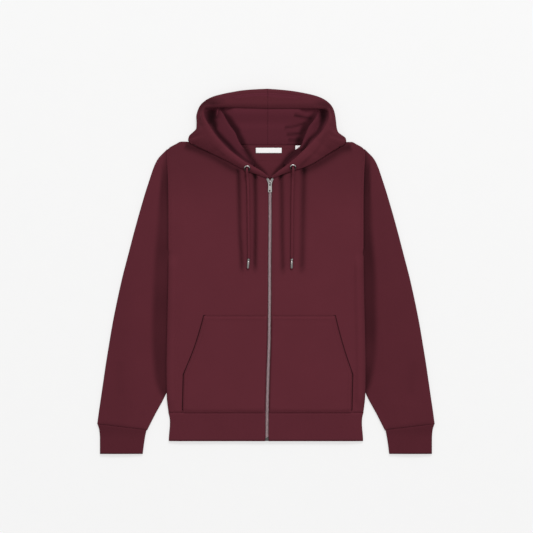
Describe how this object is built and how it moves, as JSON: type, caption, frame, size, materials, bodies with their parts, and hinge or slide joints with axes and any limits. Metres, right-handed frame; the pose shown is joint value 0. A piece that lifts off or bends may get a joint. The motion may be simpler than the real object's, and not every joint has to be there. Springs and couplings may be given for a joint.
{
  "type": "zip up hoodie",
  "caption": "Zip-up hoodie laid flat on its back, with a lined hood, drawcord, front pocket, long sleeves and ribbed cuffs and hem.",
  "frame": {"origin": "centre of the garment's outline, on the surface that the back panel lies on", "axes": "+Z out of the front of the garment, +Y towards the hood, +X towards the wearer's left sleeve"},
  "size_m": [0.8106, 0.8768, 0.0251],
  "materials": {
    "fleece": "matte, brushed inside, smooth fine knit outside",
    "rib": "matte rib knit",
    "hood_lining": "matte fine knit",
    "drawcord": "matte braid",
    "zip_tape": "matte woven tape",
    "zip_teeth": "satin nickel",
    "nickel": "satin nickel",
    "label": "woven satin label, blank"
  },
  "bodies": {
    "garment": {"back": "fleece", "front_left": "fleece", "front_right": "fleece", "pocket_left": "fleece", "pocket_right": "fleece", "sleeve_left": "fleece", "sleeve_right": "fleece", "cuff_left": "rib", "cuff_right": "rib", "hem_band": "rib", "hood_left": "fleece", "hood_right": "fleece", "hood_lining_left": "hood_lining", "hood_lining_right": "hood_lining", "neck_label": "label", "size_label": "label", "zip_tape_left": "zip_tape", "zip_tape_right": "zip_tape", "zip_chain": "zip_teeth", "zip_box": "nickel", "zip_slider": "nickel", "eyelet_left": "nickel", "eyelet_right": "nickel", "cord_left": "drawcord", "cord_right": "drawcord", "cord_tip_left": "nickel", "cord_tip_right": "nickel"},
    "pull_tab": {"pull_tab": "nickel"}
  },
  "joints": [
    {"name": "pull_tab_swing", "type": "hinge", "parent": "garment", "child": "pull_tab", "pos_m": [0.0097, 0.2146, 0.0113], "axis": [-1, 0, 0], "range_deg": [0, 150]}
  ]
}
